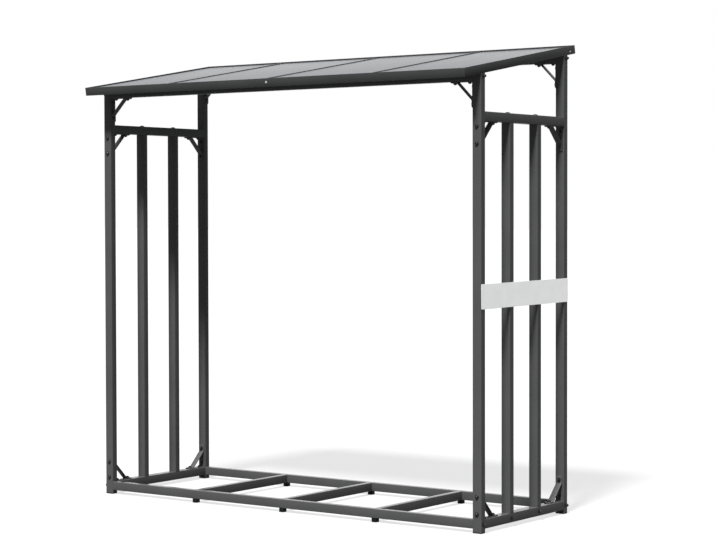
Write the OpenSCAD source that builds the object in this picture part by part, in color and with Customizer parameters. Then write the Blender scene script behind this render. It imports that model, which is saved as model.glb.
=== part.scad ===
// Steel log store: an open tube frame with slatted sides, a joisted base and a sloping sheet roof.
// Left is -X, front is -Y. The origin is on the ground under the middle of the roof.

/* [Frame] */
// Width over the posts
frame_w = 1852; // [1000:2:2400]
// Depth over the posts, front to back
frame_d = 620; // [400:2:900]
// Width of a post or slat, seen from the front
post_w = 38; // [25:1:50]
// Depth of a post or slat, seen from the side
post_d = 27; // [20:1:40]
// Wall of every tube
tube_wall = 1.2; // [0.8:0.1:1.8]
// Outer corner radius of every tube
tube_corner_r = 2; // [2:0.5:4]

/* [Base] */
// Height of the underside of the base rails over the ground
base_z = 16; // [10:1:60]
// Height of a rail, at the base and at the top of the sides
rail_h = 35; // [20:1:45]
// Depth of the front and back base rails
cross_rail_d = 25; // [20:1:40]
// Width of a joist
joist_w = 25; // [20:1:40]
// Width of a joist foot, which is square
joist_foot_w = 22; // [14:1:24]
// Thickness of the sole of a post cap
cap_sole = 4; // [2:0.5:8]
// Height of the plug of a post cap inside its tube
cap_plug_h = 18; // [8:1:30]

/* [Sides] */
// Drop from the front edge of the roof to the underside of the side top rails
top_rail_drop = 184; // [150:1:600]

/* [Roof] */
// Height of the front edge of the roof over the ground
front_h = 1682; // [1200:1:2200]
// Slope of the roof, falling to the front
roof_pitch = 9.6; // [4:0.2:15]
// How far the roof reaches out in front of the posts
front_overhang = 112; // [60:1:180]
// How far the roof reaches out behind the posts
back_overhang = 59; // [50:1:120]
// Height of the folded edge around the roof
roof_h = 33; // [28:1:50]
// How far the folded edge stands up above the ledge that carries the panels
roof_lip = 6; // [4:0.5:10]
// Sheet thickness of the folded edge
edge_sheet = 1.2; // [0.8:0.1:2]
// Sheet thickness of the roof panels
panel_sheet = 0.8; // [0.6:0.1:1.2]
// Width of the ledge under the edges of the panels
ledge_w = 24; // [15:1:40]
// Width of the lower flange of the front and back edges
edge_flange = 24; // [15:1:40]
// Cover width of a panel between two seams, as a share of the roof's width
inner_panel_share = 0.27; // [0.2:0.01:0.32]
// Width of a standing seam between two panels
seam_w = 8; // [6:0.5:14]
// Height of a standing seam over the panels
seam_h = 4; // [3:0.5:8]
// Height of the front and back beams under the roof
beam_h = 25; // [20:1:40]
// Depth of the front and back beams
beam_d = 25; // [20:1:40]

/* [Corner braces] */
// Distance from the corner to the bends of the strut of a brace
brace_leg = 71; // [40:1:90]
// Length of the tabs at the ends of the strut
brace_tab = 23; // [20:1:45]
// How far the legs of the angle run on past the tabs
leg_end = 3; // [2:0.5:10]
// Thickness of the strap that the angle and the strut are bent from
strap = 2.5; // [1.5:0.5:4]
// Width of the braces under the beams
beam_brace_w = 24; // [15:1:25]
// Width of the braces on the sides
side_brace_w = 25; // [20:1:38]

/* [Hidden] */

// Overrun of cuts past the faces that they open
overrun = 2;
// Clearance of loose fits and folded seams
fit = 0.3;
// Steps in the rounding of a tube corner
corner_steps = 3;
// Roof panels side by side, and the joists between the posts
panel_count = 4;
joist_count = 3;
// Places of the slats between the front and back posts
slat_shares = [1 / 3, 2 / 3];

anthracite = [0.24, 0.25, 0.26];
sheet_grey = [0.30, 0.31, 0.32];
black = [0.05, 0.05, 0.05];

// Sides of the store
left = -1;
right = 1;
front = -1;
back = 1;
above = -1;
below = 1;

// Plan of the frame under the roof
roof_d = frame_d + front_overhang + back_overhang;
roof_front_y = -roof_d / 2;
front_y = roof_front_y + front_overhang;
frame_mid_y = front_y + frame_d / 2;
post_x = (frame_w - post_w) / 2;
post_y_off = (frame_d - post_d) / 2;
inner_w = frame_w - 2 * post_w;
inner_d = frame_d - 2 * post_d;
joist_pitch = inner_w / (joist_count + 1);
base_top = base_z + rail_h;
top_rail_z = front_h - top_rail_drop;

// Roof along its slope
roof_len = (roof_d - roof_h * sin(roof_pitch)) / cos(roof_pitch);
panel_cover = inner_panel_share * frame_w;
lip_w = 2 * edge_sheet;

function post_y(end) = frame_mid_y + end * post_y_off;
function roof_under(y) = front_h + (y - roof_front_y) * tan(roof_pitch) - roof_h / cos(roof_pitch);
function beam_z(end) = roof_under(post_y(end) - beam_d / 2) - fit - beam_h;
function seam_x(number) = (number - panel_count / 2) * panel_cover;

function corner_arc(x, y, r, start) =
    [for (i = [0:corner_steps]) let (a = start + 90 * i / corner_steps) [x + r * cos(a), y + r * sin(a)]];
function rounded_rect(w, h, r) =
    concat(corner_arc(w / 2 - r, h / 2 - r, r, 0), corner_arc(r - w / 2, h / 2 - r, r, 90),
           corner_arc(r - w / 2, r - h / 2, r, 180), corner_arc(w / 2 - r, r - h / 2, r, 270));

// Cross-section of a rectangular steel tube with rounded corners
module tube_section(w, h) {
    difference() {
        polygon(rounded_rect(w, h, tube_corner_r));
        polygon(rounded_rect(w - 2 * tube_wall, h - 2 * tube_wall, tube_corner_r - tube_wall));
    }
}

module tube_x(length, d, h) {
    rotate([90, 0, 90]) linear_extrude(length, center = true) tube_section(d, h);
}

module tube_y(length, w, h) {
    rotate([90, 0, 0]) linear_extrude(length, center = true) tube_section(w, h);
}

// Frame of the roof: X across, Y up the slope from the front edge, Z square to the sheet
module on_roof() {
    translate([0, roof_front_y, front_h]) rotate([roof_pitch, 0, 0]) children();
}

// Corner post, cut to the slope under the roof
module post(side, end) {
    reach = roof_under(post_y(end) + post_d / 2) + overrun - cap_sole;
    color(anthracite) difference() {
        translate([side * post_x, post_y(end), cap_sole]) linear_extrude(reach) tube_section(post_w, post_d);
        on_roof() translate([-frame_w, 0, -roof_h]) cube([2 * frame_w, roof_len, roof_h]);
    }
}

// Plastic cap with its plug in the foot of a post
module post_cap(side, end) {
    plug_w = post_w - 2 * (tube_wall + fit);
    plug_d = post_d - 2 * (tube_wall + fit);
    color(black) translate([side * post_x, post_y(end), 0]) {
        linear_extrude(cap_sole) polygon(rounded_rect(post_w, post_d, tube_corner_r));
        linear_extrude(cap_sole + cap_plug_h) square([plug_w, plug_d], center = true);
    }
}

// Upright slat between the base rail and the top rail of a side
module slat(side, share) {
    y = post_y(front) + share * 2 * post_y_off;
    color(anthracite) translate([side * post_x, y, base_top])
        linear_extrude(top_rail_z - base_top) tube_section(post_w, post_d);
}

// Rail between the front and back posts of a side, at the height of its underside
module side_rail(side, z) {
    color(anthracite) translate([side * post_x, frame_mid_y, z + rail_h / 2]) tube_y(inner_d, post_w, rail_h);
}

module cross_rail(end) {
    color(anthracite) translate([0, post_y(end), base_z + rail_h / 2]) tube_x(inner_w, cross_rail_d, rail_h);
}

// Floor joist from the front base rail to the back one
module joist(place) {
    color(anthracite) translate([place * joist_pitch, frame_mid_y, base_z + rail_h / 2])
        tube_y(2 * post_y_off - cross_rail_d, joist_w, rail_h);
}

// Moulded feet under the rails at the ends of the joists
module joist_feet() {
    color(black) for (place = [-1:1], end = [front, back])
        translate([place * joist_pitch, post_y(end), 0]) linear_extrude(base_z)
            polygon(rounded_rect(joist_foot_w, joist_foot_w, tube_corner_r));
}

// Beam between two posts, close under the roof
module beam(end) {
    color(anthracite) translate([0, post_y(end), beam_z(end) + beam_h / 2]) tube_x(inner_w, beam_d, beam_h);
}

// Folded edge: outer web, doubled lip, ledge for the panels and lower flange, reaching in along X
module edge_section(flange) {
    ledge_under = -roof_lip - edge_sheet;
    flange_top = edge_sheet - roof_h;
    polygon([[0, -roof_h], [0, 0], [lip_w, 0], [lip_w, -roof_lip], [ledge_w, -roof_lip],
             [ledge_w, ledge_under], [edge_sheet, ledge_under], [edge_sheet, flange_top],
             [flange, flange_top], [flange, -roof_h]]);
}

// Length of folded edge along Y, mitred at both ends
module mitred_edge(length, flange) {
    reach = max(flange, ledge_w);
    intersection() {
        translate([0, length, 0]) rotate([90, 0, 0]) linear_extrude(length) edge_section(flange);
        translate([0, 0, -roof_h - overrun]) linear_extrude(roof_h + 2 * overrun)
            polygon([[0, 0], [0, length], [reach, length - reach], [reach, reach]]);
    }
}

module front_edge() {
    color(anthracite) on_roof() translate([frame_w / 2, 0, 0]) rotate([0, 0, 90])
        mitred_edge(frame_w, edge_flange);
}

module back_edge() {
    color(anthracite) on_roof() translate([-frame_w / 2, roof_len, 0]) rotate([0, 0, -90])
        mitred_edge(frame_w, edge_flange);
}

module left_edge() {
    color(anthracite) on_roof() translate([-frame_w / 2, 0, 0]) mitred_edge(roof_len, post_w);
}

module right_edge() {
    color(anthracite) on_roof() translate([frame_w / 2, 0, 0]) mirror([1, 0, 0])
        mitred_edge(roof_len, post_w);
}

// Cross-section of a panel: flat sheet, a cap over the seam on its left and an upstand on its right
module panel_section(number) {
    first = number == 0;
    last = number == panel_count - 1;
    left_x = first ? lip_w + fit - frame_w / 2 : seam_x(number) + fit;
    right_x = last ? frame_w / 2 - lip_w - fit : seam_x(number + 1);
    hook_x = left_x + panel_sheet - seam_w;
    translate([left_x, 0]) square([right_x - left_x, panel_sheet]);
    if (!first) {
        translate([left_x, 0]) square([panel_sheet, seam_h]);
        translate([hook_x, seam_h - panel_sheet]) square([seam_w, panel_sheet]);
        translate([hook_x, panel_sheet + fit]) square([panel_sheet, seam_h - panel_sheet - fit]);
    }
    if (!last)
        translate([right_x - panel_sheet, 0]) square([panel_sheet, seam_h - panel_sheet - fit]);
}

// Roof panel on the ledges, hooked over the panel on its left
module roof_panel(number) {
    length = roof_len - 2 * (lip_w + fit);
    color(sheet_grey) on_roof()
        translate([0, roof_len - lip_w - fit, -roof_lip])
            rotate([90, 0, 0]) linear_extrude(length) panel_section(number);
}

// Angle in a corner at the origin, under +X and along -Y, with a strut welded across it
module brace_section() {
    tab_end = brace_leg + brace_tab;
    reach = tab_end + leg_end;
    bend = brace_leg - strap * (2 - sqrt(2));
    clear = brace_leg - strap;
    difference() {
        polygon([[0, 0], [reach, 0], [reach, -strap], [tab_end, -strap], [tab_end, -2 * strap],
                 [bend, -2 * strap], [2 * strap, -bend],
                 [2 * strap, -tab_end], [strap, -tab_end], [strap, -reach], [0, -reach]]);
        polygon([[strap, -strap], [clear, -strap], [strap, -clear]]);
    }
}

// Brace between a post and the underside of a beam
module beam_brace(side, end) {
    color(anthracite) translate([side * inner_w / 2, post_y(end), beam_z(end)])
        mirror([side == right ? 1 : 0, 0, 0])
            rotate([90, 0, 0]) linear_extrude(beam_brace_w, center = true) brace_section();
}

// Brace between a post and a side rail, hanging below the rail or standing above it
module side_brace(side, end, level) {
    z = level == below ? top_rail_z : base_top;
    color(anthracite) translate([side * post_x, frame_mid_y + end * inner_d / 2, z])
        mirror([0, end == back ? 1 : 0, 0]) mirror([0, 0, level == above ? 1 : 0])
            rotate([90, 0, 90]) linear_extrude(side_brace_w, center = true) brace_section();
}

post(left, front);  // front_left_post
post(right, front);  // front_right_post
post(left, back);  // back_left_post
post(right, back);  // back_right_post
post_cap(left, front);  // front_left_cap
post_cap(right, front);  // front_right_cap
post_cap(left, back);  // back_left_cap
post_cap(right, back);  // back_right_cap
slat(left, slat_shares[0]);  // left_front_slat
slat(left, slat_shares[1]);  // left_back_slat
slat(right, slat_shares[0]);  // right_front_slat
slat(right, slat_shares[1]);  // right_back_slat
side_rail(left, top_rail_z);  // left_top_rail
side_rail(right, top_rail_z);  // right_top_rail
cross_rail(front);  // front_base_rail
cross_rail(back);  // back_base_rail
side_rail(left, base_z);  // left_base_rail
side_rail(right, base_z);  // right_base_rail
joist(-1);  // left_joist
joist(0);  // middle_joist
joist(1);  // right_joist
joist_feet();
beam(front);  // front_beam
beam(back);  // back_beam
roof_panel(0);  // roof_panel_1
roof_panel(1);  // roof_panel_2
roof_panel(2);  // roof_panel_3
roof_panel(3);  // roof_panel_4
front_edge();
back_edge();
left_edge();
right_edge();
beam_brace(left, front);  // front_left_beam_brace
beam_brace(right, front);  // front_right_beam_brace
beam_brace(left, back);  // back_left_beam_brace
beam_brace(right, back);  // back_right_beam_brace
side_brace(left, front, below);  // left_front_upper_brace
side_brace(left, back, below);  // left_back_upper_brace
side_brace(right, front, below);  // right_front_upper_brace
side_brace(right, back, below);  // right_back_upper_brace
side_brace(left, front, above);  // left_front_lower_brace
side_brace(left, back, above);  // left_back_lower_brace
side_brace(right, front, above);  // right_front_lower_brace
side_brace(right, back, above);  // right_back_lower_brace
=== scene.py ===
"""Anthracite log store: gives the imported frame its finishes, fasteners and bare side plate.

Units are metres in the part's own frame: left is -X, front is -Y and the ground is Z = 0.
"""
import math

import bmesh
import bpy
from mathutils import Euler, Matrix, Quaternion, Vector

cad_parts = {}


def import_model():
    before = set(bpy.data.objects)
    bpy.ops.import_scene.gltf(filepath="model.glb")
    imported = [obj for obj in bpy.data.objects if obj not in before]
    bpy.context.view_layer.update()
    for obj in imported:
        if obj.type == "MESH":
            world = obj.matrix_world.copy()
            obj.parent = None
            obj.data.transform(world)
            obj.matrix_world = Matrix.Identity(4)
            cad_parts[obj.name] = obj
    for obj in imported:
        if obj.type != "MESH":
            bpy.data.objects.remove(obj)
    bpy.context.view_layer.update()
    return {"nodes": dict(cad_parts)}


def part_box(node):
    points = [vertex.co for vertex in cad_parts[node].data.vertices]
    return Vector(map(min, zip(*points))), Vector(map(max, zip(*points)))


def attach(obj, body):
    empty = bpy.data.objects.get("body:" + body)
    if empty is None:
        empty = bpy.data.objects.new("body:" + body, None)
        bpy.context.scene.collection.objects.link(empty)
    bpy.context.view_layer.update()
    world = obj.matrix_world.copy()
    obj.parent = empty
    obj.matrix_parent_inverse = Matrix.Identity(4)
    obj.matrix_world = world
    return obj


MM = 0.001

# Camera, as the photograph was taken
LENS_MM = 100.52
SENSOR_MM = 36.0
CAMERA_PLACE = (4.8124, -6.3897, 1.1623)
CAMERA_TURN_DEG = 36.005
CAMERA_DIP_DEG = 1.605
CAMERA_ROLL_DEG = -0.119
CLIP_END = 300.0

# Light: a soft lamp in front of the store and a little to its right, a weak one low behind it on the left,
# and pale surroundings
KEY_HEIGHT_DEG = 56.0
KEY_TURN_DEG = 12.5
KEY_SPREAD_DEG = 10.0
KEY_STRENGTH = 4.9
FILL_HEIGHT_DEG = 26.0
FILL_TURN_DEG = 240.0
FILL_SPREAD_DEG = 12.0
FILL_STRENGTH = 1.4
SKY_STRENGTH = 0.22
WHITE = (1.0, 1.0, 1.0, 1.0)
WHITE_STRENGTH = 1.0
FLOOR_REACH = 120.0
FLOOR_WHITE_SHARE = 0.70
FLOOR_PALE = (0.78, 0.78, 0.78, 1.0)
FLOOR_BOUNCE = (0.16, 0.16, 0.16, 1.0)

# Colours of the finishes
TUBE_DARK = (0.078, 0.079, 0.080, 1.0)
TUBE_PALE = (0.089, 0.090, 0.091, 1.0)
EDGE_DARK = (0.049, 0.050, 0.050, 1.0)
EDGE_PALE = (0.058, 0.059, 0.060, 1.0)
COAT_SPECK = (0.115, 0.118, 0.120, 1.0)
COAT_RUBBED = (0.16, 0.16, 0.16, 1.0)
# Pale dust on upward faces, which also serves as a painted highlight
COAT_DUST_AND_HIGHLIGHT = (0.29, 0.28, 0.265, 1.0)
COAT_SPLASH = (0.18, 0.165, 0.145, 1.0)
ROOF_DARK = (0.048, 0.053, 0.062, 1.0)
ROOF_PALE = (0.058, 0.063, 0.073, 1.0)
ROOF_DUST = (0.20, 0.195, 0.185, 1.0)
ROOF_GLOSS = (0.92, 0.95, 1.0, 1.0)
PLASTIC_DARK = (0.005, 0.005, 0.006, 1.0)
PLASTIC_PALE = (0.010, 0.010, 0.011, 1.0)
PLASTIC_DUST = (0.16, 0.15, 0.13, 1.0)
BOLT_DARK = (0.012, 0.012, 0.013, 1.0)
BOLT_PALE = (0.024, 0.024, 0.025, 1.0)
BOLT_WORN = (0.20, 0.20, 0.21, 1.0)
ZINC_BRIGHT = (0.55, 0.56, 0.58, 1.0)
ZINC_YELLOWED = (0.46, 0.45, 0.41, 1.0)
LACQUER_CLEAN = (0.95, 0.955, 0.96, 1.0)
LACQUER_SMEARED = (0.91, 0.915, 0.915, 1.0)
LACQUER_GRIME = (0.48, 0.47, 0.45, 1.0)

# How much dust, partly a painted highlight, and sheen upper faces have, and how far dirt, dullness and wear
# reach
TUBE_TOP_DUST_AND_HIGHLIGHT = 0.40
EDGE_TOP_DUST_AND_HIGHLIGHT = 0.12
TUBE_TOP_SHEEN = 0.70
EDGE_TOP_SHEEN = 0.05
SPLASH_HEIGHT = 160 * MM
SPLASH_COVER = 0.10
FOOT_DUST_HEIGHT = 30 * MM
ROOF_DULL_REACH = 400 * MM
RUN_MARK_STRETCH = (3.0, 0.25, 1.0)
COAT_WEAR = 1.6 * MM
BOLT_WEAR = 0.5 * MM
BOLT_WEAR_COVER = 0.14
PLATE_GRIME = 3 * MM

# Range in which most of a noise lies, upward share of a normal on upright and level faces, and agreement of
# the normals on a flat face and at a sharp edge
NOISE_LOW = 0.3
NOISE_HIGH = 0.7
UPRIGHT_SHARE = 0.3
LEVEL_SHARE = 0.95
FLAT_AGREEMENT = 0.98
EDGE_AGREEMENT = 0.72
EDGE_SAMPLES = 4

# Sizes that the fasteners share with the frame
ROOF_PITCH = math.radians(9.6)
EDGE_H = 33 * MM
STRAP = 2.5 * MM
CORNER_HOLE = 19 * MM
TAB_HOLE = 82.5 * MM
# Bolt holes of a brace: distance from the corner, and thickness of metal there
BRACE_HOLES = ((CORNER_HOLE, STRAP), (TAB_HOLE, 2 * STRAP))

# Fasteners: their sizes, and the shares of them that shape each form
RING_SIDES = 24
DOME_STEPS = 7
WASHER_R = 8.4 * MM
WASHER_H = 1.5 * MM
WASHER_EDGE_SHARE = 0.8
WASHER_TOP_SHARE = 0.96
HEAD_R = 6.8 * MM
HEAD_H = 5.2 * MM
HEAD_RIM_SHARE = 0.16
HEAD_TURN_SHARES = (0.25, 0.5, 0.75)
HEAD_FULLNESS = 0.7
SOCKET_R = 2.6 * MM
RECESS_LIP_SHARE = 1.25
RECESS_EASE_SHARE = 0.03
RECESS_FLOOR_SHARE = 0.85
RECESS_DEPTH_SHARE = 0.55
CROSS_HEART_SHARE = 0.32
CROSS_FULLNESS = 1.5
HEX_TOP_SHARE = 0.97
NUT_ACROSS = 10 * MM
NUT_H = 5 * MM
NUT_CHAMFER_SHARE = 0.14
BOLT_R = 3 * MM
BOLT_STUB = 2.4 * MM
THREAD_TURNS = 3
THREAD_MOUTH_SHARE = 1.1
THREAD_ROOT_SHARE = 0.86
THREAD_END_SHARE = 0.75
CAP_ACROSS = 13 * MM
CAP_HEX_H = 5.5 * MM
CAP_CHAMFER_SHARE = 0.12
CAP_DOME_H = 6 * MM
CAP_DOME_SHARE = 0.92
BEAM_NUT_RISE = 5 * MM
COACH_R = 10 * MM
COACH_H = 5 * MM
COACH_RIM_SHARE = 0.12
SCREW_H_SHARE = 0.67
SCREW_RECESS_SHARE = 0.48
FASCIA_SCREW_R = 4.8 * MM
FASCIA_SCREW_X = 22 * MM
FASCIA_SCREW_DROP = 15 * MM
CORNER_SCREW_R = 3.1 * MM
CORNER_SCREW_SETBACK = 39 * MM
CORNER_SCREW_DROP = 21 * MM

# Side plate
PLATE_LOW = 818.5 * MM
PLATE_HIGH = 910 * MM
PLATE_SLANT = math.radians(0.57)
PLATE_T = 1.5 * MM
PLATE_CORNER_R = 4 * MM
PLATE_CORNER_STEPS = 6
PLATE_ROUND = 0.5 * MM
PLATE_ROUND_STEPS = 3
PLATE_CORNERS = ((1, 1), (-1, 1), (-1, -1), (1, -1))

# Softened edges of the carried-over solids
SMOOTH_LIMIT = math.radians(38)
FLAT_LIMIT = math.radians(0.5)
MERGE = 0.002 * MM
STRAP_ROUND = 0.5 * MM
FOLD_ROUND = 0.5 * MM
CAP_ROUND = 0.6 * MM
ROUND_SEGMENTS = 2

SIDES = {"left": -1, "right": 1}
ENDS = {"front": -1, "back": 1}
X_AXIS = Vector((1, 0, 0))
Y_AXIS = Vector((0, 1, 0))
Z_AXIS = Vector((0, 0, 1))


class Finish:
    """One procedural material: a principled shader fed by textures in the part's coordinates."""

    def __init__(self, name, **sockets):
        self.material = bpy.data.materials.new(name)
        self.material.use_nodes = True
        self.tree = self.material.node_tree
        self.shader = self.tree.nodes["Principled BSDF"]
        self.place = self.node("TexCoord", {}).outputs["Object"]
        self.facing = self.node("NewGeometry", {}).outputs["Normal"]
        self.relief = None
        for socket, value in sockets.items():
            self.set(socket.replace("_", " ").title().replace("Ior", "IOR"), value)

    def feed(self, socket, value):
        """Links an output to a socket, or sets the socket's own value."""
        if isinstance(value, bpy.types.NodeSocket):
            self.tree.links.new(value, socket)
        else:
            socket.default_value = value

    def set(self, socket, value):
        """Feeds one of the shader's own sockets."""
        self.feed(self.shader.inputs[socket], value)

    def node(self, kind, inputs, **settings):
        """Adds a shader node with its settings, and feeds its inputs."""
        made = self.tree.nodes.new("ShaderNode" + kind)
        for setting, value in settings.items():
            setattr(made, setting, value)
        for socket, value in inputs.items():
            self.feed(made.inputs[socket], value)
        return made

    def noise(self, scale, detail, stretch=None):
        """Noise of so many lumps to the metre, from 0 to 1, drawn out along an axis where stretch says."""
        place = self.place
        if stretch:
            place = self.node("Mapping", {"Vector": place, "Scale": stretch}).outputs["Vector"]
        return self.node("TexNoise", {"Vector": place, "Scale": scale, "Detail": detail}).outputs["Fac"]

    def span(self, value, low, high, to_low, to_high):
        """Value stretched from one range to another, and held inside it."""
        inputs = {"Value": value, "From Min": low, "From Max": high, "To Min": to_low, "To Max": to_high}
        return self.node("MapRange", inputs).outputs["Result"]

    def drift(self, noise, low, high):
        """Number that drifts between low and high with the noise."""
        return self.span(noise, NOISE_LOW, NOISE_HIGH, low, high)

    def patches(self, noise, least, most, cover):
        """0 where the noise is under the least, and as much as the cover where it is over the most."""
        return self.span(noise, least, most, 0.0, cover)

    def portion(self, share, most):
        """Share of 0 to 1 cut down to the most."""
        return self.span(share, 0.0, 1.0, 0.0, most)

    def combine(self, operation, a, b):
        """Sum, product or the like of two numbers."""
        made = self.node("Math", {}, operation=operation)
        self.feed(made.inputs[0], a)
        self.feed(made.inputs[1], b)
        return made.outputs["Value"]

    def mix(self, share, a, b):
        """Colour a, with the share of it painted over by colour b."""
        return self.node("MixRGB", {"Fac": share, "Color1": a, "Color2": b}).outputs["Color"]

    def edges(self, width):
        """1 along sharp edges, fading to 0 within the width."""
        rounded = self.node("Bevel", {"Radius": width}, samples=EDGE_SAMPLES).outputs["Normal"]
        agreement = self.node("VectorMath", {}, operation="DOT_PRODUCT")
        self.feed(agreement.inputs[0], rounded)
        self.feed(agreement.inputs[1], self.facing)
        return self.span(agreement.outputs["Value"], FLAT_AGREEMENT, EDGE_AGREEMENT, 0.0, 1.0)

    def upward(self):
        """1 on faces that look up, 0 on upright ones and undersides."""
        height = self.node("SeparateXYZ", {"Vector": self.facing}).outputs["Z"]
        return self.span(height, UPRIGHT_SHARE, LEVEL_SHARE, 0.0, 1.0)

    def along(self, axis, start, end):
        """0 to 1 between two places along an axis."""
        place = self.node("SeparateXYZ", {"Vector": self.place}).outputs[axis]
        return self.span(place, start, end, 0.0, 1.0)

    def bump(self, height, depth, strength):
        """Raises the surface by the depth where the height is 1, over the relief that it has."""
        inputs = {"Height": height, "Distance": depth, "Strength": strength}
        if self.relief:
            inputs["Normal"] = self.relief
        self.relief = self.node("Bump", inputs).outputs["Normal"]
        self.set("Normal", self.relief)


def powder_coat(name, dark, pale, top_dust_and_highlight, top_sheen):
    """Fine-textured anthracite powder coat, dusty near the ground and lighter on top from dust and a
    painted highlight, with rubbed edges.
    """
    finish = Finish(name, specular_ior_level=0.025, coat_roughness=0.22)
    finish.set("Coat Weight", finish.portion(finish.upward(), top_sheen))
    cloud = finish.noise(scale=7.0, detail=5.0)
    coat = finish.mix(finish.drift(cloud, 0.0, 1.0), dark, pale)
    specks = finish.patches(finish.noise(scale=900.0, detail=1.0), least=0.62, most=0.75, cover=0.30)
    coat = finish.mix(specks, coat, COAT_SPECK)
    rubs = finish.patches(finish.noise(scale=60.0, detail=4.0), least=0.40, most=0.70, cover=0.50)
    coat = finish.mix(finish.combine("MULTIPLY", finish.edges(COAT_WEAR), rubs), coat, COAT_RUBBED)
    grit = finish.patches(finish.noise(scale=240.0, detail=6.0), least=0.38, most=0.70, cover=1.0)
    # Upward faces lightened: partly settled dust, partly a painted highlight in place of the top faces'
    # gloss
    settled_dust_and_highlight = finish.portion(finish.upward(), top_dust_and_highlight)
    coat = finish.mix(finish.combine("MULTIPLY", grit, settled_dust_and_highlight), coat, COAT_DUST_AND_HIGHLIGHT)
    splashed = finish.portion(finish.along("Z", SPLASH_HEIGHT, 0.0), SPLASH_COVER)
    coat = finish.mix(finish.combine("MULTIPLY", grit, splashed), coat, COAT_SPLASH)
    finish.set("Base Color", coat)
    finish.set("Roughness", finish.drift(cloud, 0.27, 0.35))
    finish.bump(finish.noise(scale=120.0, detail=2.0), depth=0.10 * MM, strength=0.25)
    finish.bump(finish.noise(scale=1500.0, detail=2.0), depth=0.05 * MM, strength=0.20)
    return finish.material


def roof_sheet():
    """Coated sheet, smoother than the tubes: faintly uneven, duller to the front, with rain-washed dust."""
    finish = Finish("roof_sheet_finish", specular_ior_level=0.48, specular_tint=ROOF_GLOSS)
    cloud = finish.noise(scale=4.0, detail=5.0)
    coat = finish.mix(finish.drift(cloud, 0.0, 1.0), ROOF_DARK, ROOF_PALE)
    run_marks = finish.noise(scale=14.0, detail=4.0, stretch=RUN_MARK_STRETCH)
    washed = finish.patches(run_marks, least=0.45, most=0.75, cover=0.07)
    coat = finish.mix(finish.combine("MULTIPLY", washed, finish.upward()), coat, ROOF_DUST)
    finish.set("Base Color", coat)
    forward = finish.along("Y", ROOF_DULL_REACH, -ROOF_DULL_REACH)
    dulled = finish.span(forward, 0.0, 1.0, 0.23, 0.35)
    finish.set("Roughness", finish.combine("ADD", dulled, finish.drift(run_marks, -0.02, 0.02)))
    finish.bump(finish.noise(scale=3.2, detail=1.0), depth=1.2 * MM, strength=0.50)
    finish.bump(finish.noise(scale=1100.0, detail=2.0), depth=0.03 * MM, strength=0.08)
    return finish.material


def black_plastic():
    """Moulded black plastic with a fine spark-eroded grain, greyed by dust near the ground."""
    finish = Finish("black_plastic_finish", specular_ior_level=0.06)
    grain = finish.noise(scale=1800.0, detail=3.0)
    cloud = finish.noise(scale=40.0, detail=3.0)
    body = finish.mix(finish.drift(cloud, 0.0, 1.0), PLASTIC_DARK, PLASTIC_PALE)
    specks = finish.patches(finish.noise(scale=300.0, detail=5.0), least=0.40, most=0.70, cover=0.08)
    dust = finish.combine("MULTIPLY", specks, finish.along("Z", FOOT_DUST_HEIGHT, 0.0))
    finish.set("Base Color", finish.mix(dust, body, PLASTIC_DUST))
    finish.set("Roughness", finish.drift(grain, 0.42, 0.56))
    finish.bump(grain, depth=0.05 * MM, strength=0.50)
    return finish.material


def black_bolt():
    """Black-plated steel, blotchy, with bright rubbed edges."""
    finish = Finish("black_bolt_finish", specular_ior_level=0.18)
    blotch = finish.noise(scale=260.0, detail=4.0)
    plating = finish.mix(finish.drift(blotch, 0.0, 1.0), BOLT_DARK, BOLT_PALE)
    worn = finish.portion(finish.edges(BOLT_WEAR), BOLT_WEAR_COVER)
    finish.set("Base Color", finish.mix(worn, plating, BOLT_WORN))
    finish.set("Roughness", finish.drift(blotch, 0.22, 0.34))
    finish.bump(finish.noise(scale=2200.0, detail=2.0), depth=0.02 * MM, strength=0.30)
    return finish.material


def zinc():
    """Bright zinc plating with cloudy, slightly yellowed patches."""
    finish = Finish("zinc_finish", metallic=1.0)
    blotch = finish.noise(scale=320.0, detail=4.0)
    yellowed = finish.patches(blotch, least=0.35, most=0.70, cover=1.0)
    finish.set("Base Color", finish.mix(yellowed, ZINC_BRIGHT, ZINC_YELLOWED))
    finish.set("Roughness", finish.drift(blotch, 0.24, 0.42))
    finish.bump(finish.noise(scale=2600.0, detail=2.0), depth=0.02 * MM, strength=0.30)
    return finish.material


def white_plate():
    """Pearly white lacquered sheet with a faint orange peel, and grey handling dirt towards its edges."""
    finish = Finish("white_plate_finish", metallic=0.3, specular_ior_level=0.8, coat_weight=1.0,
                    coat_roughness=0.12, coat_ior=1.6)
    smear = finish.noise(scale=22.0, detail=5.0)
    smeared = finish.patches(smear, least=0.35, most=0.70, cover=1.0)
    lacquer = finish.mix(smeared, LACQUER_CLEAN, LACQUER_SMEARED)
    prints = finish.patches(finish.noise(scale=90.0, detail=4.0), least=0.35, most=0.70, cover=0.40)
    grime = finish.combine("MULTIPLY", finish.edges(PLATE_GRIME), prints)
    finish.set("Base Color", finish.mix(grime, lacquer, LACQUER_GRIME))
    finish.set("Roughness", finish.drift(smear, 0.34, 0.46))
    finish.bump(finish.noise(scale=350.0, detail=2.0), depth=0.04 * MM, strength=0.25)
    return finish.material


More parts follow.
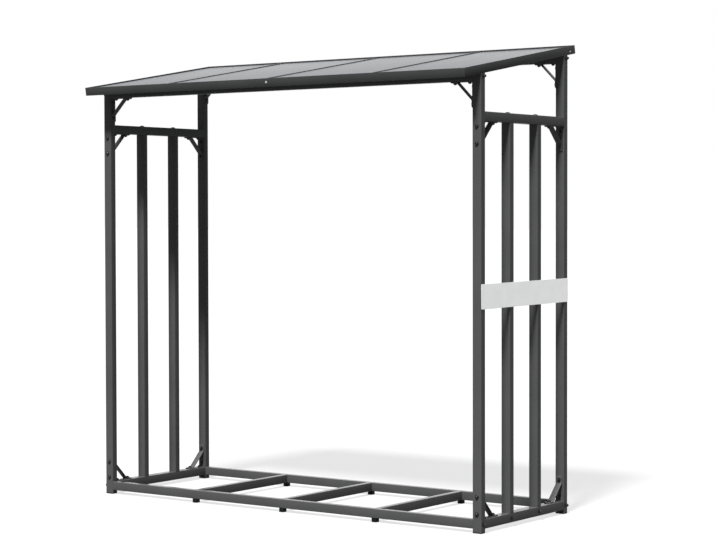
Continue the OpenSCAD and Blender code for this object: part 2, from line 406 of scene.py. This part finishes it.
def smooth_group():
    """Node group that shades smooth across shallow edges and sharp across the rest."""
    group = bpy.data.node_groups.new("smooth_by_angle", "GeometryNodeTree")
    group.interface.new_socket("Geometry", in_out="INPUT", socket_type="NodeSocketGeometry")
    group.interface.new_socket("Geometry", in_out="OUTPUT", socket_type="NodeSocketGeometry")
    entry = group.nodes.new("NodeGroupInput")
    angle = group.nodes.new("GeometryNodeInputMeshEdgeAngle")
    steep = group.nodes.new("FunctionNodeCompare")
    steep.inputs["B"].default_value = SMOOTH_LIMIT
    bare = group.nodes.new("GeometryNodeSetMeshNormal")
    bare.inputs["Remove Custom"].default_value = True
    bare.inputs["Face Sharpness"].default_value = False
    leave = group.nodes.new("NodeGroupOutput")
    group.links.new(angle.outputs["Unsigned Angle"], steep.inputs["A"])
    group.links.new(entry.outputs["Geometry"], bare.inputs["Mesh"])
    group.links.new(steep.outputs["Result"], bare.inputs["Edge Sharpness"])
    group.links.new(bare.outputs["Mesh"], leave.inputs["Geometry"])
    return group


def soften(piece, group, radius):
    """Joins a solid's facets, rounds its sharp edges by the radius, if it has one, and shades it smooth."""
    weld = piece.modifiers.new("join_facets", "WELD")
    weld.merge_threshold = MERGE
    if radius:
        flat = piece.modifiers.new("whole_faces", "DECIMATE")
        flat.decimate_type = "DISSOLVE"
        flat.angle_limit = FLAT_LIMIT
        bevel = piece.modifiers.new("round_edges", "BEVEL")
        bevel.width = radius
        bevel.segments = ROUND_SEGMENTS
        bevel.limit_method = "ANGLE"
        bevel.angle_limit = SMOOTH_LIMIT
    smooth = piece.modifiers.new("smooth", "NODES")
    smooth.node_group = group


def dress(nodes, materials, group):
    """Gives every carried-over solid its finish and soft edges."""
    for name, piece in nodes.items():
        if name.startswith("roof_panel"):
            material, radius = materials["roof_sheet"], 0.0
        elif name.endswith(("_cap", "_feet")):
            material, radius = materials["black_plastic"], CAP_ROUND
        elif name.endswith("_brace"):
            material, radius = materials["powder_coat"], STRAP_ROUND
        elif name.endswith("_edge"):
            material, radius = materials["edge_coat"], FOLD_ROUND
        else:
            material, radius = materials["powder_coat"], 0.0
        piece.data.materials.clear()
        piece.data.materials.append(material)
        soften(piece, group, radius)


def seat(point, axis):
    """Frame of a fastener that stands on a face at the point, with its Z along the axis."""
    return Matrix.Translation(point) @ Z_AXIS.rotation_difference(axis).to_matrix().to_4x4()


def round_ring(angle):
    """Circle one unit from the middle."""
    return 1.0


def hex_ring(angle):
    """Hexagon with its flats one unit from the middle."""
    return 1.0 / math.cos(angle % (math.pi / 3) - math.pi / 6)


def cross_ring(angle):
    """Cross recess with rounded arms that reach one unit from the middle."""
    arm = abs(math.cos(2 * angle)) ** CROSS_FULLNESS
    return CROSS_HEART_SHARE + (1 - CROSS_HEART_SHARE) * arm


def bridge(mesh, loops):
    """Closes a solid over loops of as many points each, stacked one on the other."""
    count = len(loops[0])
    for low, high in zip(loops, loops[1:]):
        for step in range(count):
            after = (step + 1) % count
            mesh.faces.new((low[step], low[after], high[after], high[step]))
    mesh.faces.new(reversed(loops[0]))
    mesh.faces.new(loops[-1])


def loft(mesh, place, rings):
    """Adds a closed solid through rings of (radius, height, outline), stacked along the place's Z."""
    loops = []
    for radius, height, outline in rings:
        loop = []
        for step in range(RING_SIDES):
            angle = math.tau * step / RING_SIDES
            reach = radius * outline(angle)
            point = Vector((reach * math.cos(angle), reach * math.sin(angle), height))
            loop.append(mesh.verts.new(place @ point))
        loops.append(loop)
    bridge(mesh, loops)


def driven_head(radius, height, recess_r, recess_ring, base):
    """Rings of a domed head with a driving recess, on a seat at the height of the base."""
    rim = base + HEAD_RIM_SHARE * height
    top = base + height
    rings = [(radius, base, round_ring), (radius, rim, round_ring)]
    for share in HEAD_TURN_SHARES:
        turn = share * math.pi / 2
        reach = radius * math.cos(turn) ** HEAD_FULLNESS
        rings.append((reach, rim + (top - rim) * math.sin(turn), round_ring))
    rings.append((RECESS_LIP_SHARE * recess_r, top, round_ring))
    rings.append((recess_r, top - RECESS_EASE_SHARE * height, recess_ring))
    rings.append((RECESS_FLOOR_SHARE * recess_r, top - RECESS_DEPTH_SHARE * height, recess_ring))
    return rings


def dome(radius, base, height):
    """Rings of a plain dome that rises from the base."""
    rings = []
    for step in range(DOME_STEPS):
        turn = math.pi / 2 * step / DOME_STEPS
        rings.append((radius * math.cos(turn), base + height * math.sin(turn), round_ring))
    return rings


def hexagon(flat, height, chamfer):
    """Rings of a hexagon with chamfered ends, on a washer."""
    top = WASHER_H + height
    return [
        (flat, WASHER_H, round_ring),
        (flat, WASHER_H + chamfer, hex_ring),
        (flat, top - chamfer, hex_ring),
        (HEX_TOP_SHARE * flat, top, round_ring),
    ]


def washer(mesh, place):
    """Flat washer with its upper edge eased."""
    rings = [
        (WASHER_R, 0, round_ring),
        (WASHER_R, WASHER_EDGE_SHARE * WASHER_H, round_ring),
        (WASHER_TOP_SHARE * WASHER_R, WASHER_H, round_ring),
    ]
    loft(mesh, place, rings)


def bolt_head(mesh, point, axis):
    """Domed socket head on a washer."""
    place = seat(point, axis)
    washer(mesh, place)
    loft(mesh, place, driven_head(HEAD_R, HEAD_H, SOCKET_R, hex_ring, WASHER_H))


def nut(mesh, point, axis):
    """Hexagon nut on a washer, with the threaded end of its bolt standing out."""
    place = seat(point, axis)
    washer(mesh, place)
    top = WASHER_H + NUT_H
    pitch = BOLT_STUB / THREAD_TURNS
    rings = hexagon(NUT_ACROSS / 2, NUT_H, NUT_CHAMFER_SHARE * NUT_H)
    rings.append((THREAD_MOUTH_SHARE * BOLT_R, top, round_ring))
    for turn in range(THREAD_TURNS):
        height = top + pitch * turn
        rings.append((THREAD_ROOT_SHARE * BOLT_R, height, round_ring))
        rings.append((BOLT_R, height + pitch / 2, round_ring))
    rings.append((THREAD_END_SHARE * BOLT_R, top + BOLT_STUB, round_ring))
    loft(mesh, place, rings)


def coach_head(mesh, point, axis):
    """Plain mushroom head of a coach bolt."""
    rim = COACH_RIM_SHARE * COACH_H
    rings = [(COACH_R, 0, round_ring)] + dome(COACH_R, rim, COACH_H - rim)
    loft(mesh, seat(point, axis), rings)


def cap_nut(mesh, point, axis):
    """Hexagon cap nut with a domed end, on a washer."""
    place = seat(point, axis)
    washer(mesh, place)
    flat = CAP_ACROSS / 2
    rings = hexagon(flat, CAP_HEX_H, CAP_CHAMFER_SHARE * CAP_HEX_H)
    rings += dome(CAP_DOME_SHARE * flat, WASHER_H + CAP_HEX_H, CAP_DOME_H)
    loft(mesh, place, rings)


def pan_screw(mesh, point, axis, radius):
    """Pan-head screw with a cross recess."""
    height = SCREW_H_SHARE * radius
    recess_r = SCREW_RECESS_SHARE * radius
    loft(mesh, seat(point, axis), driven_head(radius, height, recess_r, cross_ring, 0.0))


def add_piece(name, mesh, material, group):
    """Makes a piece of the mesh, which moves with the store."""
    bmesh.ops.recalc_face_normals(mesh, faces=mesh.faces)
    data = bpy.data.meshes.new(name)
    mesh.to_mesh(data)
    mesh.free()
    piece = bpy.data.objects.new(name, data)
    bpy.context.scene.collection.objects.link(piece)
    data.materials.append(material)
    smooth = piece.modifiers.new("smooth", "NODES")
    smooth.node_group = group
    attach(piece, "root")


def middle(node):
    """Middle of a node's box."""
    low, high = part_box(node)
    return (low + high) / 2


def post_face_bolts(material, group):
    """Bolts through the posts that hold the braces of the sides: heads outside, nuts inside."""
    heads = bmesh.new()
    nuts = bmesh.new()
    for side in SIDES:
        top_rail_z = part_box(f"{side}_top_rail")[0].z
        base_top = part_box(f"{side}_base_rail")[1].z
        for end, outward in ENDS.items():
            low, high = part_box(f"{end}_{side}_post")
            x = (low.x + high.x) / 2
            outer_y, inner_y = (low.y, high.y) if outward < 0 else (high.y, low.y)
            for hole, metal in BRACE_HOLES:
                for z in (top_rail_z - hole, base_top + hole):
                    bolt_head(heads, Vector((x, outer_y, z)), outward * Y_AXIS)
                    nut(nuts, Vector((x, inner_y - outward * metal, z)), -outward * Y_AXIS)
    add_piece("post_face_bolts", heads, material, group)
    add_piece("side_brace_nuts", nuts, material, group)


def side_rail_bolts(material, group):
    """Bolts that hold the braces of the sides to the top and base rails."""
    heads = bmesh.new()
    for side in SIDES:
        top_rail_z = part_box(f"{side}_top_rail")[0].z
        base_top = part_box(f"{side}_base_rail")[1].z
        for end, outward in ENDS.items():
            low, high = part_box(f"{end}_{side}_post")
            inner_y = high.y if outward < 0 else low.y
            x = (low.x + high.x) / 2
            for hole, metal in BRACE_HOLES:
                y = inner_y - outward * hole
                bolt_head(heads, Vector((x, y, top_rail_z - metal)), -Z_AXIS)
                bolt_head(heads, Vector((x, y, base_top + metal)), Z_AXIS)
    add_piece("side_rail_bolts", heads, material, group)


def beam_brace_bolts(material, group):
    """Bolts that hold the braces under the beams."""
    heads = bmesh.new()
    for side, across in SIDES.items():
        for end in ENDS:
            low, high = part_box(f"{end}_{side}_post")
            inner_x = high.x if across < 0 else low.x
            beam_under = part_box(f"{end}_beam")[0].z
            y = middle(f"{end}_beam").y
            for hole, metal in BRACE_HOLES:
                bolt_head(heads, Vector((inner_x - across * hole, y, beam_under - metal)), -Z_AXIS)
                bolt_head(heads, Vector((inner_x - across * metal, y, beam_under - hole)), -across * X_AXIS)
    add_piece("beam_brace_bolts", heads, material, group)


def outer_side_nuts(material, group):
    """Cap nuts on the outer sides: on the posts at beam and base rail, and at the feet of the slats."""
    nuts = bmesh.new()
    for side, outward in SIDES.items():
        low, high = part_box(f"{side}_base_rail")
        x = low.x if outward < 0 else high.x
        rail_z = (low.z + high.z) / 2
        for end in ENDS:
            y = middle(f"{end}_{side}_post").y
            for z in (rail_z, middle(f"{end}_beam").z + BEAM_NUT_RISE):
                cap_nut(nuts, Vector((x, y, z)), outward * X_AXIS)
            y = middle(f"{side}_{end}_slat").y
            cap_nut(nuts, Vector((x, y, rail_z)), outward * X_AXIS)
    add_piece("outer_side_nuts", nuts, material, group)


def slat_bolts(material, group):
    """Coach bolts down through the side top rails into the slats."""
    heads = bmesh.new()
    for side in SIDES:
        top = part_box(f"{side}_top_rail")[1].z
        for end in ENDS:
            slat = middle(f"{side}_{end}_slat")
            coach_head(heads, Vector((slat.x, slat.y, top)), Z_AXIS)
    add_piece("slat_bolts", heads, material, group)


def roof_screws(material, group):
    """Screws in the roof edge: one near the middle of the front, a smaller one at the back of each side."""
    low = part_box("front_edge")[0]
    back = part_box("right_edge")[1]
    pitch = Matrix.Rotation(ROOF_PITCH, 4, "X")
    on_roof = Matrix.Translation((0, low.y, low.z + EDGE_H * math.cos(ROOF_PITCH))) @ pitch
    roof_len = (back.y - low.y - EDGE_H * math.sin(ROOF_PITCH)) / math.cos(ROOF_PITCH)
    front_head = bmesh.new()
    place = Vector((FASCIA_SCREW_X, 0, -FASCIA_SCREW_DROP))
    pan_screw(front_head, on_roof @ place, pitch.to_3x3() @ -Y_AXIS, FASCIA_SCREW_R)
    add_piece("fascia_screw", front_head, material, group)
    side_heads = bmesh.new()
    for outward in SIDES.values():
        place = Vector((outward * back.x, roof_len - CORNER_SCREW_SETBACK, -CORNER_SCREW_DROP))
        pan_screw(side_heads, on_roof @ place, outward * X_AXIS, CORNER_SCREW_R)
    add_piece("corner_screws", side_heads, material, group)


def plate_layers():
    """Height and inset of each outline of the plate, from its seat over its rounded edge to its face."""
    layers = [(0.0, 0.0)]
    for step in range(PLATE_ROUND_STEPS + 1):
        turn = math.pi / 2 * step / PLATE_ROUND_STEPS
        layers.append((PLATE_T - PLATE_ROUND * (1 - math.sin(turn)), PLATE_ROUND * (1 - math.cos(turn))))
    layers.append((PLATE_T, PLATE_CORNER_R / 2))
    return layers


def side_plate(material, group):
    """Bare plate with rounded corners, a touch askew on the outer faces of the right posts and slats."""
    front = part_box("front_right_post")
    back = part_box("back_right_post")
    centre = Vector((front[1].x, (front[0].y + back[1].y) / 2, (PLATE_LOW + PLATE_HIGH) / 2))
    slant = Matrix.Translation(centre) @ Matrix.Rotation(PLATE_SLANT, 4, "X")
    half_w = (back[1].y - front[0].y) / 2
    half_h = (PLATE_HIGH - PLATE_LOW) / 2
    mesh = bmesh.new()
    loops = []
    for height, inset in plate_layers():
        reach = PLATE_CORNER_R - inset
        loop = []
        for turn, (y, z) in enumerate(PLATE_CORNERS):
            for step in range(PLATE_CORNER_STEPS + 1):
                angle = math.pi / 2 * (turn + step / PLATE_CORNER_STEPS)
                place_y = y * (half_w - PLATE_CORNER_R) + reach * math.cos(angle)
                place_z = z * (half_h - PLATE_CORNER_R) + reach * math.sin(angle)
                loop.append(mesh.verts.new(slant @ Vector((height, place_y, place_z))))
        loops.append(loop)
    bridge(mesh, loops)
    add_piece("side_plate", mesh, material, group)


def white_ray(tree):
    """1 for rays that show the surroundings: seen by the camera, in a gloss or through glass."""
    path = tree.nodes.new("ShaderNodeLightPath")
    shown = path.outputs["Is Camera Ray"]
    for name in ("Is Glossy Ray", "Is Transmission Ray"):
        either = tree.nodes.new("ShaderNodeMath")
        either.operation = "MAXIMUM"
        tree.links.new(shown, either.inputs[0])
        tree.links.new(path.outputs[name], either.inputs[1])
        shown = either.outputs["Value"]
    return shown


def surroundings():
    """White surroundings that light the store at a plain level."""
    world = bpy.data.worlds.new("pale_surroundings")
    bpy.context.scene.world = world
    world.use_nodes = True
    tree = world.node_tree
    light = tree.nodes["Background"]
    light.inputs["Color"].default_value = WHITE
    light.inputs["Strength"].default_value = SKY_STRENGTH
    white = tree.nodes.new("ShaderNodeBackground")
    white.inputs["Color"].default_value = WHITE
    white.inputs["Strength"].default_value = WHITE_STRENGTH
    either = tree.nodes.new("ShaderNodeMixShader")
    tree.links.new(white_ray(tree), either.inputs["Fac"])
    tree.links.new(light.outputs["Background"], either.inputs[1])
    tree.links.new(white.outputs["Background"], either.inputs[2])
    tree.links.new(either.outputs["Shader"], tree.nodes["World Output"].inputs["Surface"])


def floor_finish():
    """White to rays that show the floor, apart from its shadows, and dim in the light it throws back."""
    material = bpy.data.materials.new("floor_finish")
    material.use_nodes = True
    tree = material.node_tree
    tree.nodes.remove(tree.nodes["Principled BSDF"])
    pale = tree.nodes.new("ShaderNodeBsdfDiffuse")
    pale.inputs["Color"].default_value = FLOOR_PALE
    white = tree.nodes.new("ShaderNodeEmission")
    white.inputs["Strength"].default_value = WHITE_STRENGTH
    shown = tree.nodes.new("ShaderNodeMixShader")
    shown.inputs["Fac"].default_value = FLOOR_WHITE_SHARE
    tree.links.new(pale.outputs["BSDF"], shown.inputs[1])
    tree.links.new(white.outputs["Emission"], shown.inputs[2])
    bounce = tree.nodes.new("ShaderNodeBsdfDiffuse")
    bounce.inputs["Color"].default_value = FLOOR_BOUNCE
    either = tree.nodes.new("ShaderNodeMixShader")
    tree.links.new(white_ray(tree), either.inputs["Fac"])
    tree.links.new(bounce.outputs["BSDF"], either.inputs[1])
    tree.links.new(shown.outputs["Shader"], either.inputs[2])
    tree.links.new(either.outputs["Shader"], tree.nodes["Material Output"].inputs["Surface"])
    return material


def floor():
    """Pale floor that keeps the store's shadow."""
    mesh = bmesh.new()
    bmesh.ops.create_grid(mesh, x_segments=1, y_segments=1, size=FLOOR_REACH)
    data = bpy.data.meshes.new("floor")
    mesh.to_mesh(data)
    mesh.free()
    data.materials.append(floor_finish())
    ground = bpy.data.objects.new("floor", data)
    bpy.context.scene.collection.objects.link(ground)


def lamp(name, strength, spread_deg, height_deg, turn_deg):
    """Distant lamp so far above the horizon, turned about the upright from the front towards the right."""
    light = bpy.data.lights.new(name, "SUN")
    light.energy = strength
    light.angle = math.radians(spread_deg)
    holder = bpy.data.objects.new(name, light)
    holder.rotation_euler = Euler((math.radians(90 - height_deg), 0, math.radians(turn_deg)))
    bpy.context.scene.collection.objects.link(holder)
    return holder


def camera():
    """Camera at the photograph's place."""
    lens = bpy.data.cameras.new("camera")
    lens.lens = LENS_MM
    lens.sensor_width = SENSOR_MM
    lens.clip_end = CLIP_END
    eye = bpy.data.objects.new("camera", lens)
    eye.location = CAMERA_PLACE
    eye.rotation_mode = "QUATERNION"
    aim = Euler((math.radians(90 - CAMERA_DIP_DEG), 0, math.radians(CAMERA_TURN_DEG))).to_quaternion()
    eye.rotation_quaternion = aim @ Quaternion(Z_AXIS, math.radians(CAMERA_ROLL_DEG))
    bpy.context.scene.collection.objects.link(eye)
    bpy.context.scene.camera = eye


def main():
    """Loads the frame, sets the stage, dresses the solids and adds the fasteners and the plate."""
    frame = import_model()
    bpy.context.scene.view_settings.view_transform = "Standard"
    camera()
    surroundings()
    lamp("key", KEY_STRENGTH, KEY_SPREAD_DEG, KEY_HEIGHT_DEG, KEY_TURN_DEG)
    fill = lamp("fill", FILL_STRENGTH, FILL_SPREAD_DEG, FILL_HEIGHT_DEG, FILL_TURN_DEG)
    fill.visible_glossy = False
    floor()
    group = smooth_group()
    coats = {
        "powder_coat": powder_coat("powder_coat_finish", TUBE_DARK, TUBE_PALE,
                                   TUBE_TOP_DUST_AND_HIGHLIGHT, TUBE_TOP_SHEEN),
        "edge_coat": powder_coat("edge_coat_finish", EDGE_DARK, EDGE_PALE,
                                 EDGE_TOP_DUST_AND_HIGHLIGHT, EDGE_TOP_SHEEN),
        "roof_sheet": roof_sheet(),
        "black_plastic": black_plastic(),
    }
    dress(frame["nodes"], coats, group)
    dark = black_bolt()
    post_face_bolts(dark, group)
    side_rail_bolts(dark, group)
    beam_brace_bolts(dark, group)
    outer_side_nuts(dark, group)
    slat_bolts(dark, group)
    roof_screws(zinc(), group)
    side_plate(white_plate(), group)


main()
